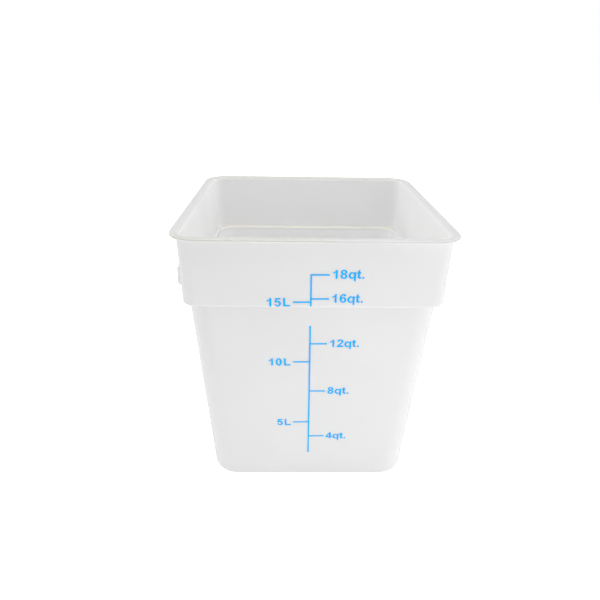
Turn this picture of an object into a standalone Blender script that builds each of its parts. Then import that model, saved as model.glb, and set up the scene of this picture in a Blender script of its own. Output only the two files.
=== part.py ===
"""Square food storage container: a one-piece moulded tub with a fill scale printed on its front.

Lengths are metres and +Z is up. The origin is the middle of the base at table level, the
printed front faces -Y, and the two moulded hand grips stand on the -X and +X sides.

The tub is a loft. Every level of it is a rounded square, given as a section: the half width
across the flats, the corner radius and the height. The sections run up the outside from the
base, over the rim and down the inside to the floor, and the mesh is extruded through them.
"""
import math

import bmesh
import bpy
from mathutils import Matrix

# Overall form
RIM_SIZE = 0.28575
TOTAL_HEIGHT = 0.3175
WALL = 0.0026

# Rim: a flat lip turned outwards round the mouth, which the lid presses over
RIM_CORNER_RADIUS = 0.029
RIM_THICKNESS = 0.003
RIM_OVERHANG = 0.0079
RIM_ROOT_FILLET = 0.0012
MOUTH_EDGE_RADIUS = 0.003

# Collar: the wider upper part, down to the step that a tub below nests against
COLLAR_CORNER_RADIUS = 0.0151
COLLAR_DRAFT = 0.0007
STEP_HEIGHT = 0.2436
STEP_DEPTH = 0.0042
STEP_EDGE_RADIUS = 0.0019
STEP_ROOT_FILLET = 0.0012

# Body: the tapered lower part
BASE_SIZE = 0.23468
BODY_TOP_CORNER_RADIUS = 0.0252
BASE_CORNER_RADIUS = 0.0293
BASE_EDGE_RADIUS = 0.0104

# Floor: a standing ring round a panel that is set up from the table
FLOOR_THICKNESS = 0.0028
FOOT_WIDTH = 0.0075
PANEL_RISE = 0.0012
PANEL_SLOPE = 0.0025

# Hand grips: hollow ledges on the two sides of the collar, open underneath for the fingers
GRIP_LENGTH = 0.164
GRIP_REACH = 0.0150
GRIP_HEIGHT = 0.0215
GRIP_LIFT = 0.0006
GRIP_FLARE = 0.0012
GRIP_WALL = 0.0024
GRIP_CORNER_RADIUS = 0.008
GRIP_TOP_RADIUS = 0.0035
CUT_OVERRUN = 0.004

# Printed scale: ink lines on the front, quarts to the right of the spine and litres to the left
INK_THICKNESS = 0.0002
INK_GAP = 0.0003
LINE_WIDTH = 0.0016
TICK_LENGTH = 0.0181
SCALE_FOOT_X = -0.0007
SCALE_LEAN_DEG = 0.65

# Mark heights of the upper print, as shares of the collar's height above the step
COLLAR_SPINE_SHARES = (0.030, 0.487)
COLLAR_QUART_SHARES = (0.133, 0.487)
COLLAR_LITRE_SHARES = (0.0853,)

# Mark heights of the lower print, as shares of the step's height above the table
BODY_SPINE_SHARES = (0.169, 0.900)
BODY_QUART_SHARES = (0.274, 0.551, 0.811)
BODY_LITRE_SHARES = (0.364, 0.7155)

# Facets
CORNER_SEGMENTS = 8
FILLET_SEGMENTS = 3
EDGE_SEGMENTS = 6

# Outer half widths that follow from the sizes above
RIM_HALF = RIM_SIZE / 2
COLLAR_TOP_HALF = RIM_HALF - RIM_OVERHANG
COLLAR_STEP_HALF = COLLAR_TOP_HALF - COLLAR_DRAFT
BODY_TOP_HALF = COLLAR_STEP_HALF - STEP_DEPTH
BASE_HALF = BASE_SIZE / 2
BODY_LEAN = math.atan2(BODY_TOP_HALF - BASE_HALF, STEP_HEIGHT)
COLLAR_HEIGHT = TOTAL_HEIGHT - STEP_HEIGHT
COLLAR_LEAN = math.atan2(COLLAR_DRAFT, COLLAR_HEIGHT)

# A fillet is never larger than its share of the face that it rounds
STEP_FACE_SHARE = 0.45
STEP_EDGE = min(STEP_EDGE_RADIUS, STEP_DEPTH * STEP_FACE_SHARE)
STEP_ROOT = min(STEP_ROOT_FILLET, STEP_DEPTH * STEP_FACE_SHARE)


def clear_scene():
    """Remove every object that the file opened with."""
    for item in list(bpy.data.objects):
        bpy.data.objects.remove(item, do_unlink=True)


def material(name, colour, roughness, alpha=1.0):
    """Return a Principled BSDF material."""
    made = bpy.data.materials.new(name)
    made.use_nodes = True
    shader = made.node_tree.nodes["Principled BSDF"]
    shader.inputs["Base Color"].default_value = (*colour, 1.0)
    shader.inputs["Roughness"].default_value = roughness
    shader.inputs["Metallic"].default_value = 0.0
    shader.inputs["Alpha"].default_value = alpha
    made.diffuse_color = (*colour, alpha)
    return made


def add_object(name, mesh_builder, finish=None):
    """Turn a bmesh into a linked object."""
    mesh = bpy.data.meshes.new(name)
    mesh_builder.to_mesh(mesh)
    mesh_builder.free()
    made = bpy.data.objects.new(name, mesh)
    bpy.context.scene.collection.objects.link(made)
    if finish is not None:
        mesh.materials.append(finish)
    return made


def round_over(half, corner, height, radius, start, end, segments):
    """Sections along an arc in the wall's profile.

    half, corner and height belong to the arc's centre. The angles are in degrees: 0 points
    out of the tub, 90 points up. The corner radius grows and shrinks with the half width, so
    the rounding keeps one width all the way round the corners.
    """
    sections = []
    for step in range(segments + 1):
        angle = math.radians(start + (end - start) * step / segments)
        reach = radius * math.cos(angle)
        sections.append((half + reach, corner + reach, height + radius * math.sin(angle)))
    return sections


def base_edge(base_half, corner, height, radius, start, end):
    """The rounding between the floor and the leaning wall, tangent to both."""
    lean = math.degrees(BODY_LEAN)
    centre = base_half + math.tan(BODY_LEAN) * (height + radius) - radius / math.cos(BODY_LEAN)
    angles = {"floor": -90.0, "wall": -lean}
    return round_over(centre, corner - radius, height + radius, radius,
                      angles[start], angles[end], EDGE_SEGMENTS)


def outer_sections():
    """Sections up the outside, from the panel under the base to the lip's outer edge."""
    foot_edge = base_edge(BASE_HALF, BASE_CORNER_RADIUS, 0.0, BASE_EDGE_RADIUS, "floor", "wall")
    foot_half, foot_corner, foot_height = foot_edge[0]
    panel_half = foot_half - FOOT_WIDTH
    panel_corner = foot_corner - FOOT_WIDTH
    sections = [(panel_half - PANEL_SLOPE, panel_corner - PANEL_SLOPE, PANEL_RISE),
                (panel_half, panel_corner, foot_height)]
    sections += foot_edge
    sections += round_over(BODY_TOP_HALF + STEP_ROOT, BODY_TOP_CORNER_RADIUS + STEP_ROOT,
                           STEP_HEIGHT - STEP_ROOT, STEP_ROOT, 180, 90, FILLET_SEGMENTS)
    sections += round_over(COLLAR_STEP_HALF - STEP_EDGE, COLLAR_CORNER_RADIUS - STEP_EDGE,
                           STEP_HEIGHT + STEP_EDGE, STEP_EDGE, -90, 0, FILLET_SEGMENTS + 1)
    lip_height = TOTAL_HEIGHT - RIM_THICKNESS
    sections += round_over(COLLAR_TOP_HALF + RIM_ROOT_FILLET,
                           COLLAR_CORNER_RADIUS + RIM_ROOT_FILLET,
                           lip_height - RIM_ROOT_FILLET, RIM_ROOT_FILLET,
                           180, 90, FILLET_SEGMENTS)
    lip_radius = RIM_THICKNESS / 2
    sections += round_over(RIM_HALF - lip_radius, RIM_CORNER_RADIUS - lip_radius,
                           TOTAL_HEIGHT - lip_radius, lip_radius, -90, 90, EDGE_SEGMENTS)
    return sections


def inner_sections():
    """Sections down the inside, from the mouth to the floor."""
    inner_corner = COLLAR_CORNER_RADIUS - WALL
    sections = round_over(COLLAR_TOP_HALF - WALL + MOUTH_EDGE_RADIUS,
                          inner_corner + MOUTH_EDGE_RADIUS,
                          TOTAL_HEIGHT - MOUTH_EDGE_RADIUS, MOUTH_EDGE_RADIUS,
                          90, 180, EDGE_SEGMENTS)
    ledge = STEP_HEIGHT + WALL
    sections += round_over(COLLAR_STEP_HALF - WALL - STEP_ROOT, inner_corner - STEP_ROOT,
                           ledge + STEP_ROOT, STEP_ROOT, 0, -90, FILLET_SEGMENTS)
    sections += round_over(BODY_TOP_HALF - WALL + STEP_EDGE,
                           BODY_TOP_CORNER_RADIUS - WALL + STEP_EDGE,
                           ledge - STEP_EDGE, STEP_EDGE, 90, 180, FILLET_SEGMENTS + 1)
    floor_edge = base_edge(BASE_HALF - WALL, BASE_CORNER_RADIUS - WALL, FLOOR_THICKNESS,
                           BASE_EDGE_RADIUS - WALL, "wall", "floor")
    sections += floor_edge
    foot_half, foot_corner, foot_height = base_edge(
        BASE_HALF, BASE_CORNER_RADIUS, 0.0, BASE_EDGE_RADIUS, "floor", "wall")[0]
    panel_half = foot_half - FOOT_WIDTH
    panel_corner = foot_corner - FOOT_WIDTH
    sections += [(panel_half, panel_corner, FLOOR_THICKNESS),
                 (panel_half - PANEL_SLOPE, panel_corner - PANEL_SLOPE,
                  FLOOR_THICKNESS + PANEL_RISE)]
    return sections


def place_section(verts, section):
    """Move one loop of vertices onto a rounded square."""
    half, corner, height = section
    straight = half - corner
    per_corner = CORNER_SEGMENTS + 1
    for index, vert in enumerate(verts):
        quarter, step = divmod(index, per_corner)
        angle = math.radians(90 * quarter + 90 * step / CORNER_SEGMENTS)
        middle = math.radians(90 * quarter + 45)
        centre_x = math.copysign(straight, math.cos(middle))
        centre_y = math.copysign(straight, math.sin(middle))
        vert.co.x = centre_x + corner * math.cos(angle)
        vert.co.y = centre_y + corner * math.sin(angle)
        vert.co.z = height


def loft(sections):
    """Extrude one loop of edges through the sections and close both ends."""
    builder = bmesh.new()
    count = 4 * (CORNER_SEGMENTS + 1)
    first = bmesh.ops.create_circle(builder, cap_ends=True, segments=count, radius=RIM_HALF)
    verts = list(first["verts"])
    place_section(verts, sections[0])
    edges = [edge for edge in builder.edges]
    for section in sections[1:]:
        grown = bmesh.ops.extrude_edge_only(builder, edges=edges)["geom"]
        new_verts = [item for item in grown if isinstance(item, bmesh.types.BMVert)]
        edges = [item for item in grown if isinstance(item, bmesh.types.BMEdge)
                 and all(vert in new_verts for vert in item.verts)]
        place_section(new_verts, section)
    bmesh.ops.contextual_create(builder, geom=edges)
    bmesh.ops.recalc_face_normals(builder, faces=builder.faces)
    return builder


def rounded_ledge(inner, outer, half_length, low, high, flare, corner, top):
    """A ledge that stands out along +X, narrower at the top, with its free edges rounded."""
    builder = bmesh.new()
    bmesh.ops.create_cube(builder, size=1.0)
    for vert in builder.verts:
        at_top = vert.co.z > 0
        lean = flare if at_top else 0.0
        vert.co.x = outer - lean if vert.co.x > 0 else inner
        vert.co.y = math.copysign(half_length - lean, vert.co.y)
        vert.co.z = high if at_top else low
    outer_side = (inner + outer) / 2
    uprights = [edge for edge in builder.edges
                if all(vert.co.x > outer_side for vert in edge.verts)
                and edge.verts[0].co.y * edge.verts[1].co.y > 0]
    bmesh.ops.bevel(builder, geom=uprights, offset=corner, segments=EDGE_SEGMENTS,
                    affect="EDGES", profile=0.5, material=-1)
    middle = (low + high) / 2
    free_edges = [edge for edge in builder.edges
                  if all(vert.co.z > middle for vert in edge.verts)
                  and any(vert.co.x > outer_side for vert in edge.verts)]
    bmesh.ops.bevel(builder, geom=free_edges, offset=top, segments=FILLET_SEGMENTS + 1,
                    affect="EDGES", profile=0.5, material=-1)
    return builder


def turn_to_side(builder, side):
    """Mirror a ledge to the -X side when side is -1."""
    if side < 0:
        bmesh.ops.scale(builder, vec=(-1.0, 1.0, 1.0), verts=builder.verts)
        bmesh.ops.reverse_faces(builder, faces=builder.faces)
    return builder


def guide(made):
    """Mark a helper that only shapes another piece."""
    made.hide_render = True
    made.display_type = "WIRE"
    return made


def boolean(target, tool, operation):
    """Add an exact Boolean to a piece."""
    modifier = target.modifiers.new(operation.title() + " " + tool.name, "BOOLEAN")
    modifier.operation = operation
    modifier.solver = "EXACT"
    modifier.object = tool


def add_grip(tub, side, name):
    """Join one hollow hand grip to the tub, open underneath."""
    buried = COLLAR_STEP_HALF - WALL / 2
    outer = COLLAR_STEP_HALF + GRIP_REACH
    low = STEP_HEIGHT + GRIP_LIFT
    high = low + GRIP_HEIGHT
    half_length = GRIP_LENGTH / 2
    block = rounded_ledge(buried, outer, half_length, low, high,
                          GRIP_FLARE, GRIP_CORNER_RADIUS, GRIP_TOP_RADIUS)
    shell = guide(add_object(name + "_block", turn_to_side(block, side)))
    hollow = rounded_ledge(buried - CUT_OVERRUN, outer - GRIP_WALL, half_length - GRIP_WALL,
                           low - CUT_OVERRUN, high - GRIP_WALL, GRIP_FLARE,
                           GRIP_CORNER_RADIUS - GRIP_WALL, GRIP_TOP_RADIUS - GRIP_WALL / 2)
    pocket = guide(add_object(name + "_pocket", turn_to_side(hollow, side)))
    boolean(shell, pocket, "DIFFERENCE")
    boolean(tub, shell, "UNION")


def build_tub(finish):
    """The moulded tub, with its rim, collar, step, body, floor and hand grips."""
    tub = add_object("tub", loft(outer_sections() + inner_sections()), finish)
    for side, name in ((-1, "left_grip"), (1, "right_grip")):
        add_grip(tub, side, name)
    tub.data.shade_smooth()
    tub.data.set_sharp_from_angle(angle=math.radians(35))
    return tub


def comb_outline(spine, right_marks, left_marks):
    """Corners of a spine with level ticks on both sides, anticlockwise from its foot."""
    half_line = LINE_WIDTH / 2
    low, high = spine
    points = [(-half_line, low - half_line), (half_line, low - half_line)]
    for mark in sorted(right_marks):
        points += [(half_line, mark - half_line), (TICK_LENGTH, mark - half_line),
                   (TICK_LENGTH, mark + half_line), (half_line, mark + half_line)]
    points += [(half_line, high + half_line), (-half_line, high + half_line)]
    for mark in sorted(left_marks, reverse=True):
        points += [(-half_line, mark + half_line), (-TICK_LENGTH, mark + half_line),
                   (-TICK_LENGTH, mark - half_line), (-half_line, mark - half_line)]
    merged = []
    for point in points:
        if merged and math.dist(point, merged[-1]) < half_line / 100:
            continue
        merged.append(point)
    return merged


def build_print(name, finish, foot_half, foot_height, lean, span, marks):
    """One print of the scale, laid on a leaning front wall.

    foot_half and foot_height give the wall's outer face at its foot, lean is the wall's lean,
    span is the height that the marks' shares divide, and marks holds the three share lists.
    """
    slant = 1.0 / math.cos(lean)
    spine, quarts, litres = [[share * span * slant for share in shares] for shares in marks]
    builder = bmesh.new()
    corners = [builder.verts.new((x, 0.0, z)) for x, z in comb_outline(spine, quarts, litres)]
    face = builder.faces.new(corners)
    grown = bmesh.ops.extrude_face_region(builder, geom=[face])["geom"]
    front = [item for item in grown if isinstance(item, bmesh.types.BMVert)]
    bmesh.ops.translate(builder, verts=front, vec=(0.0, -INK_THICKNESS, 0.0))
    bmesh.ops.recalc_face_normals(builder, faces=builder.faces)
    made = add_object(name, builder, finish)
    twist = math.radians(SCALE_LEAN_DEG)
    shift = SCALE_FOOT_X - math.tan(twist) * foot_height
    stand_off = INK_GAP / math.cos(lean)
    made.matrix_world = (Matrix.Translation((shift, -foot_half - stand_off, foot_height))
                         @ Matrix.Rotation(lean, 4, "X")
                         @ Matrix.Rotation(-twist, 4, "Y"))
    return made


def main():
    """Build the container."""
    clear_scene()
    plastic = material("polypropylene", (0.86, 0.87, 0.86), 0.32)
    ink = material("scale_ink", (0.02, 0.45, 0.85), 0.45)
    build_tub(plastic)
    build_print("upper_scale_print", ink, COLLAR_STEP_HALF, STEP_HEIGHT, COLLAR_LEAN,
                COLLAR_HEIGHT, (COLLAR_SPINE_SHARES, COLLAR_QUART_SHARES, COLLAR_LITRE_SHARES))
    build_print("lower_scale_print", ink, BASE_HALF, 0.0, BODY_LEAN,
                STEP_HEIGHT, (BODY_SPINE_SHARES, BODY_QUART_SHARES, BODY_LITRE_SHARES))


main()
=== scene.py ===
"""Square food storage container, dressed for a studio photograph.

Lengths are metres and +Z is up. The tub stands on the floor with the middle of its base at the
origin, its printed front faces -Y, and the two hand grips are on the -X and +X sides.
"""

import math

import bmesh
import bpy
from bpy.props import FloatProperty, FloatVectorProperty, PointerProperty
from mathutils import Matrix, Vector


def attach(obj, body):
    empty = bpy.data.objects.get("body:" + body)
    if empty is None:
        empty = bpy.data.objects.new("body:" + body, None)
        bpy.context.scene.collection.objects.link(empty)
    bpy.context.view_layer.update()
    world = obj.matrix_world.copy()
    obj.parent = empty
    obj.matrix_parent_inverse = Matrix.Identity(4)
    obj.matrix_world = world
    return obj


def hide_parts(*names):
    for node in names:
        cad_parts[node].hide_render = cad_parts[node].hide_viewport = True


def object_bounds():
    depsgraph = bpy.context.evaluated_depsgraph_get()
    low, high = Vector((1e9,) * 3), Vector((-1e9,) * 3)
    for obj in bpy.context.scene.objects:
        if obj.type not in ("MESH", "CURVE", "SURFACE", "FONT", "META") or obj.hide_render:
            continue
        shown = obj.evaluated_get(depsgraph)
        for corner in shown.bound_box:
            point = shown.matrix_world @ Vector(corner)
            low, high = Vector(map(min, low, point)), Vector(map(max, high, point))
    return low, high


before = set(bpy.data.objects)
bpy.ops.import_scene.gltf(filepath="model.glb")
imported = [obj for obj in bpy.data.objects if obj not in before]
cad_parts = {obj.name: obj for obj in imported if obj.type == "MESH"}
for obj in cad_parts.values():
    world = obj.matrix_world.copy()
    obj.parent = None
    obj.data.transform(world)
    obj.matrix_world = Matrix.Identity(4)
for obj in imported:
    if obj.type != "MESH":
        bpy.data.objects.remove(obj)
CAD_LOW, CAD_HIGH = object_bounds()
BODY = "root"

bl_info = {
    "name": "Square Food Tub",
    "version": (1, 0, 0),
    "blender": (4, 5, 0),
    "location": "3D Viewport > Sidebar > Food Tub",
    "description": "Builds a square translucent food storage tub with a printed fill scale",
    "category": "Add Mesh",
}

# How finely the moulding is divided
CORNER_SEGMENTS = 20
ARC_SEGMENTS = 8
EDGE_SEGMENTS = 12
SIDE_COLUMN_SHARES = (0.015, 0.25, 0.5, 0.75, 0.985)
QUARTER_COLUMNS = CORNER_SEGMENTS + 1 + len(SIDE_COLUMN_SHARES)
SHARP_ANGLE = math.radians(38)

# A fillet in the step is never larger than this share of the step's depth
STEP_FILLET_SHARE = 0.45

# A level ring at the edge of the base panel keeps the panel's shading flat
PANEL_MARGIN = 0.0015

# Small features of the moulding
PARTING_INSET = 0.00008
PARTING_ANGLE = -38.0
GRIP_RIM_RADIUS = 0.0007
GRIP_ROOT_FILLET = 0.0011
GRIP_ROOT_SEGMENTS = 4
GRIP_ROOT_ANGLE = math.radians(60)
GRIP_BURIED_SHARE = 0.5
GATE_WELL_RADIUS = 0.0065
GATE_WELL_DEPTH = 0.0004
GATE_WELL_SLOPE = 0.0003
GATE_NUB_RADIUS = 0.0016
GATE_NUB_HEIGHT = 0.0006
GATE_OVERRUN = 0.0003
GATE_SEGMENTS = 48
GATE_WELD = 0.000003

# The floor, and the distances where its glow on the tub starts to fade and is gone
FLOOR_HALF = 6.0
FLOOR_GLOW_ENDS = (0.2, 0.7)

# The soft lights: place, the point that each faces, and width
KEY_LIGHT = ((0.42, -0.65, 0.22), (0.0, 0.0, 0.15), 0.5)
OVERHEAD_LIGHT = ((0.0, -0.1, 1.3), (0.0, 0.0, 0.3), 0.8)

SENSOR_WIDTH = 36.0
NEAREST_SEEN = 0.01

# The fill scale: marks as shares of the height that each print spans
COLLAR_MARKS = {
    "spine": (0.030, 0.487),
    "quarts": ((0.133, "16"), (0.487, "18")),
    "litres": ((0.0853, "15"),),
}
BODY_MARKS = {
    "spine": (0.169, 0.900),
    "quarts": ((0.274, "4"), (0.551, "8"), (0.811, "12")),
    "litres": ((0.364, "5"), (0.7155, "10")),
}

# The plastic: how deep light spreads, how far its clouds tint it, how rough it is, and the
# strength and depth of its skin
MILK_DEPTH = 0.003
CLOUD_TINT = 0.1
PLASTIC_ROUGHNESS = (0.07, 0.12)
PLASTIC_BUMP = (0.5, 0.0015)

# Noise of the plastic and the ink: patches to a metre, contrast, and heights of the skin. The
# clouds' contrast stretches the noise about its middle from this much to each side.
CLOUD_HALF_SPREAD = 0.25
TINT_CLOUD = {"scale": 9.0, "contrast": 1.0}
GLOSS_CLOUD = {"scale": 23.0, "contrast": 1.2}
INK_CLOUD = {"scale": 420.0, "contrast": 1.2}
PLASTIC_SKIN = {"wave_height": 1.0, "peel_height": 0.01}
INK_SKIN = {"wave_scale": 150.0, "peel_scale": 2600.0, "peel_height": 0.4}

# The rim's darker tone, partly its thick section's own tone and partly painted shade that offsets
# the light falling on its top, starts just over the lip's middle, and just outside the mouth's
# rounding
RIM_TONE_RISE = 0.0004
RIM_TONE_SOFTNESS = 0.001
RIM_TONE_FEATHER = 0.2

# The rim's cream tone, which also paints shade on the front and back runs: its least share in the
# clear patches, and where it fades out towards the front right, as shares of half the rim's size
CREAM_LEAST = 0.6
CREAM_FADE = (0.7, 1.5)

# How soft the ledge's painted shade ends
LEDGE_SOFTNESS = 0.001

# A surface faces inwards from this value of its normal along the way out; inward faces below the
# step get painted light
INWARD = -0.05

# Painted glow: emission on the undersides of the lip and the step stands in for light passing down
# through them, fully from the first upward share of the normal and not at all from the second
UNDERSIDE_PAINTED_GLOW = 0.075
STEP_GLOW_SHARE = 0.8
GLOW_SOFTNESS = 0.0004
UNDERSIDE = (-0.3, 0.1)

# The ink
INK_CORNER_RADIUS = 0.00025
INK_CORNER_SEGMENTS = 3
# Painted glow: emission that brightens the ink beyond what its colour gives under the lamps
INK_PAINTED_GLOW = 0.14
INK_ROUGHNESS = (0.42, 0.55)
INK_BUMP = (0.2, 0.0001)
INK_SUNK_SHARE = 0.4
INK_WELD_SHARE = 0.05
LABEL_CLEARANCE = 0.00215
LITRE_CLEARANCE = 0.0022
QUART_LABEL_RISE = 0.0006

# Outlines of the scale's characters in hundredths of the cap height. A node is x and y, and
# unless the outline is straight there, the ways that it arrives and leaves: up, down, left,
# right, or - for straight. One way stands for both.
CURVE_SHARE = 0.5523
GLYPH_STRETCH = 1.05
GLYPH_RESOLUTION = 8
GLYPHS = {
    "0": (78, [[(6, 49.5, "U"), (39, 101, "R"), (72, 49.5, "D"), (39, -1.5, "L")],
               [(26.5, 49.5, "U"), (39, 84.5, "R"), (51.5, 49.5, "D"), (39, 14.5, "L")]]),
    "1": (78, [[(36, 0), (55, 0), (55, 100), (39.5, 100, "-D"), (11, 75, "L-"), (11, 57, "-R"),
                (36, 72)]]),
    "2": (78, [[(4, 0, "-U"), (31, 42), (52, 71, "U"), (39, 85, "L"), (25.5, 69, "D-"),
                (6, 71, "-U"), (39.5, 100.5, "R"), (71.5, 72.5, "D"), (47, 33), (33, 18),
                (71.5, 18), (71.5, 0)]]),
    "4": (78, [[(43.5, 0), (43.5, 20), (2.5, 20), (2.5, 37), (46, 100), (62, 100), (62, 37),
                (74.5, 37), (74.5, 20), (62, 20), (62, 0)],
               [(43.5, 37), (43.5, 71), (20.5, 37)]]),
    "5": (78, [[(6, 26), (25.5, 28, "-D"), (39.5, 13.5, "R"), (54, 33, "U"), (39, 51.5, "L"),
                (24, 44.5), (8.5, 46.5), (18.5, 98.5), (69, 98.5), (69, 81), (33, 81),
                (30, 63.5, "-R"), (44, 67, "R"), (73.5, 33.5, "D"), (39, -1.5, "L")]]),
    "6": (78, [[(71, 75.5, "D-"), (52.5, 73.5, "-U"), (41.5, 85, "L"), (26, 57, "D-"),
                (43.5, 65.5, "R"), (73, 32, "D"), (40.5, -1.5, "L"), (6, 48.5, "U"),
                (42.5, 100.5, "R")],
               [(27.5, 32.5, "U"), (40.5, 51, "R"), (54, 32.5, "D"), (41, 14, "L")]]),
    "8": (78, [[(19, 54), (7, 74.5, "U"), (38, 100.5, "R"), (69, 74.5, "D"), (57, 54),
                (71.5, 29, "D"), (38, -1.5, "L"), (4.5, 29, "U")],
               [(26, 72.5, "U"), (38, 85.5, "R"), (50, 72.5, "D"), (38, 60.5, "L")],
               [(24.5, 29.5, "U"), (38, 46, "R"), (51.5, 29.5, "D"), (38, 13.5, "L")]]),
    "L": (91, [[(16.5, 0), (16.5, 99), (37, 99), (37, 17.5), (87, 17.5), (87, 0)]]),
    "q": (85, [[(59, -27), (59, 8), (36, -1.5, "L"), (5.5, 35.5, "U"), (36.5, 74, "R"), (58.5, 62),
                (58.5, 72.5), (78, 72.5), (78, -27)],
               [(25.5, 36, "U"), (42.5, 59, "R"), (59.5, 36, "D"), (42.5, 13, "L")]]),
    "t": (46, [[(43, 72.5), (43, 57), (30.5, 57), (30.5, 22, "-D"), (36.5, 14.5, "R-"), (43, 16),
                (45, 1.5, "-L"), (30, -1.5, "L"), (11, 20, "U-"), (11, 57), (2, 57), (2, 72.5),
                (11, 72.5), (11, 87), (30.5, 98), (30.5, 72.5)]]),
    ".": (39, [[(10, 0), (10, 19.5), (29.5, 19.5), (29.5, 0)]]),
}
WAYS = {"U": Vector((0, 1)), "D": Vector((0, -1)), "L": Vector((-1, 0)), "R": Vector((1, 0))}


def length(name, description, default, least=0.0):
    """A length that a user can change."""
    return FloatProperty(name=name, description=description, default=default, min=least,
                         unit="LENGTH")


def brightness(name, description, default, unit="NONE"):
    """A brightness or a power that a user can change."""
    return FloatProperty(name=name, description=description, default=default, min=0.0,
                         unit=unit)


def colour(name, description, default):
    """A colour that a user can change."""
    return FloatVectorProperty(name=name, description=description, default=default, min=0.0,
                               max=1.0, size=3, subtype="COLOR")


def turn(name, description, degrees):
    """An angle that a user can change."""
    return FloatProperty(name=name, description=description, default=math.radians(degrees),
                         subtype="ANGLE", unit="ROTATION")


class TubSizes(bpy.types.PropertyGroup):
    """Sizes of the moulded tub."""

    total_height: length("Total Height", "From the table to the top of the rim", CAD_HIGH.z, 0.05)
    rim_size: length("Rim Size", "Across the outside of the rim, front to back",
                     CAD_HIGH.y - CAD_LOW.y, 0.05)
    grip_span: length("Grip Span", "From the end of one hand grip to the end of the other",
                      CAD_HIGH.x - CAD_LOW.x, 0.05)
    wall: length("Wall", "Thickness of the moulded walls", 0.0026, 0.0005)
    rim_thickness: length("Rim Thickness", "Height of the lip's outer edge", 0.003, 0.001)
    rim_overhang: length("Rim Overhang", "How far the lip stands out from the collar",
                         0.0079, 0.001)
    rim_corner: length("Rim Corner Radius", "Outer corner radius of the lip, seen from above",
                       0.029, 0.002)
    rim_root: length("Rim Root Fillet", "Fillet between the collar and the lip's underside",
                     0.0012, 0.0002)
    mouth_edge: length("Mouth Edge Radius", "Rounding from the lip's top into the collar",
                       0.003, 0.001)
    collar_corner: length("Collar Corner Radius", "Outer corner radius of the collar",
                          0.0151, 0.004)
    collar_draft: length("Collar Draft", "How much narrower each side is at the step", 0.0007)
    step_height: length("Step Height", "From the table to the underside of the collar",
                        0.2436, 0.02)
    step_depth: length("Step Depth", "How far the collar stands out from the body", 0.0042, 0.001)
    step_edge: length("Step Edge Radius", "Rounding of the collar's lower edge", 0.0019, 0.0002)
    base_size: length("Base Size", "Across the body where its walls would meet the table",
                      0.23468, 0.05)
    body_top_corner: length("Body Top Corner Radius", "Outer corner radius under the step",
                            0.0252, 0.004)
    base_corner: length("Base Corner Radius", "Outer corner radius at the base", 0.0293, 0.004)
    base_edge: length("Base Edge Radius", "Rounding between the walls and the base", 0.0104, 0.003)
    floor_thickness: length("Floor Thickness", "Thickness of the floor panel", 0.0028, 0.0005)
    foot_width: length("Foot Width", "Width of the ring that the tub stands on", 0.0075, 0.001)
    panel_rise: length("Panel Rise", "How far the floor panel is set up from the table", 0.0012)
    panel_slope: length("Panel Slope", "Width of the slope from the foot to the panel",
                        0.0025, 0.0005)
    grip_length: length("Grip Length", "Length of each hand grip along the side", 0.164, 0.03)
    grip_height: length("Grip Height", "Height of each hand grip", 0.0215, 0.008)
    grip_lift: length("Grip Lift", "From the collar's lower edge to the grip's underside", 0.0006)
    grip_flare: length("Grip Flare", "How much the grip widens towards its underside", 0.0012)
    grip_wall: length("Grip Wall", "Thickness of the hollow grip", 0.0024, 0.0008)
    grip_corner: length("Grip Corner Radius", "Outer corners of the grip, seen from above",
                        0.008, 0.003)
    grip_top: length("Grip Top Radius", "Rounding of the grip's upper edge", 0.0035, 0.002)


class ScaleSizes(bpy.types.PropertyGroup):
    """Sizes of the printed fill scale."""

    line_width: length("Line Width", "Width of the spine and the marks", 0.0016, 0.0002)
    tick_length: length("Mark Length", "From the spine's middle to the end of a mark",
                        0.0181, 0.002)
    cap_height: length("Figure Height", "Height of the figures beside the marks", 0.0096, 0.002)
    film: FloatProperty(
        name="Ink Film", description="How far the ink stands out from the wall",
        default=0.00005, min=0.00001, precision=5, unit="LENGTH")
    foot_x: FloatProperty(
        name="Scale Position", description="Where the spine's line meets the table, left or right",
        default=-0.0007, unit="LENGTH")
    lean: turn("Scale Lean", "How far the print leans to the left of upright", 0.65)


class FinishColours(bpy.types.PropertyGroup):
    """Colours of the plastic and the ink."""

    plastic: colour("Plastic", "Colour of the natural polypropylene", (0.90, 0.90, 0.90))
    # Rim: partly the thick section's own tone, partly painted shade that offsets the light falling
    # on the rim's top
    rim: colour("Rim", "Colour of the thick rim", (0.67, 0.67, 0.67))
    # Rim run: painted shade on the rim's front and back runs, which get less light than the runs
    # on the bright sides
    rim_run_painted_shade: colour("Rim Run", "Colour of the rim's front and back runs", (0.68, 0.68, 0.68))
    # Rim cast: cream tint with painted shade on the rim's front and back runs
    rim_run_cream_and_shade: colour("Rim Cast", "Creamier colour of the rim's front and back runs",
                     (0.64, 0.635, 0.595))
    # Deep inside: painted light, a lighter colour on the inner faces below the step that stands in
    # for the light filling the body
    deep: colour("Deep Inside", "Colour inside the body, which light fills from all sides",
                 (0.96, 0.96, 0.96))
    # Ledge: painted shade, a darker colour on the ledge's upward faces, which the overhead light
    # falls on
    ledge: colour("Ledge", "Colour of the ledge inside the step", (0.81, 0.81, 0.81))
    # Ledge cast: cream tint with the same painted shade on the ledge's front and back runs
    ledge_run_cream_and_shade: colour("Ledge Cast", "Creamier colour of the ledge's front and back runs",
                       (0.82, 0.80, 0.72))
    ink: colour("Ink", "Colour of the printed scale", (0.0, 0.45, 1.0))
    thin_ink: colour("Thin Ink", "Colour where less ink was laid down", (0.0, 0.49, 1.0))
    floor: colour("Floor", "Colour of the studio floor", (0.80, 0.80, 0.80))


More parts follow.
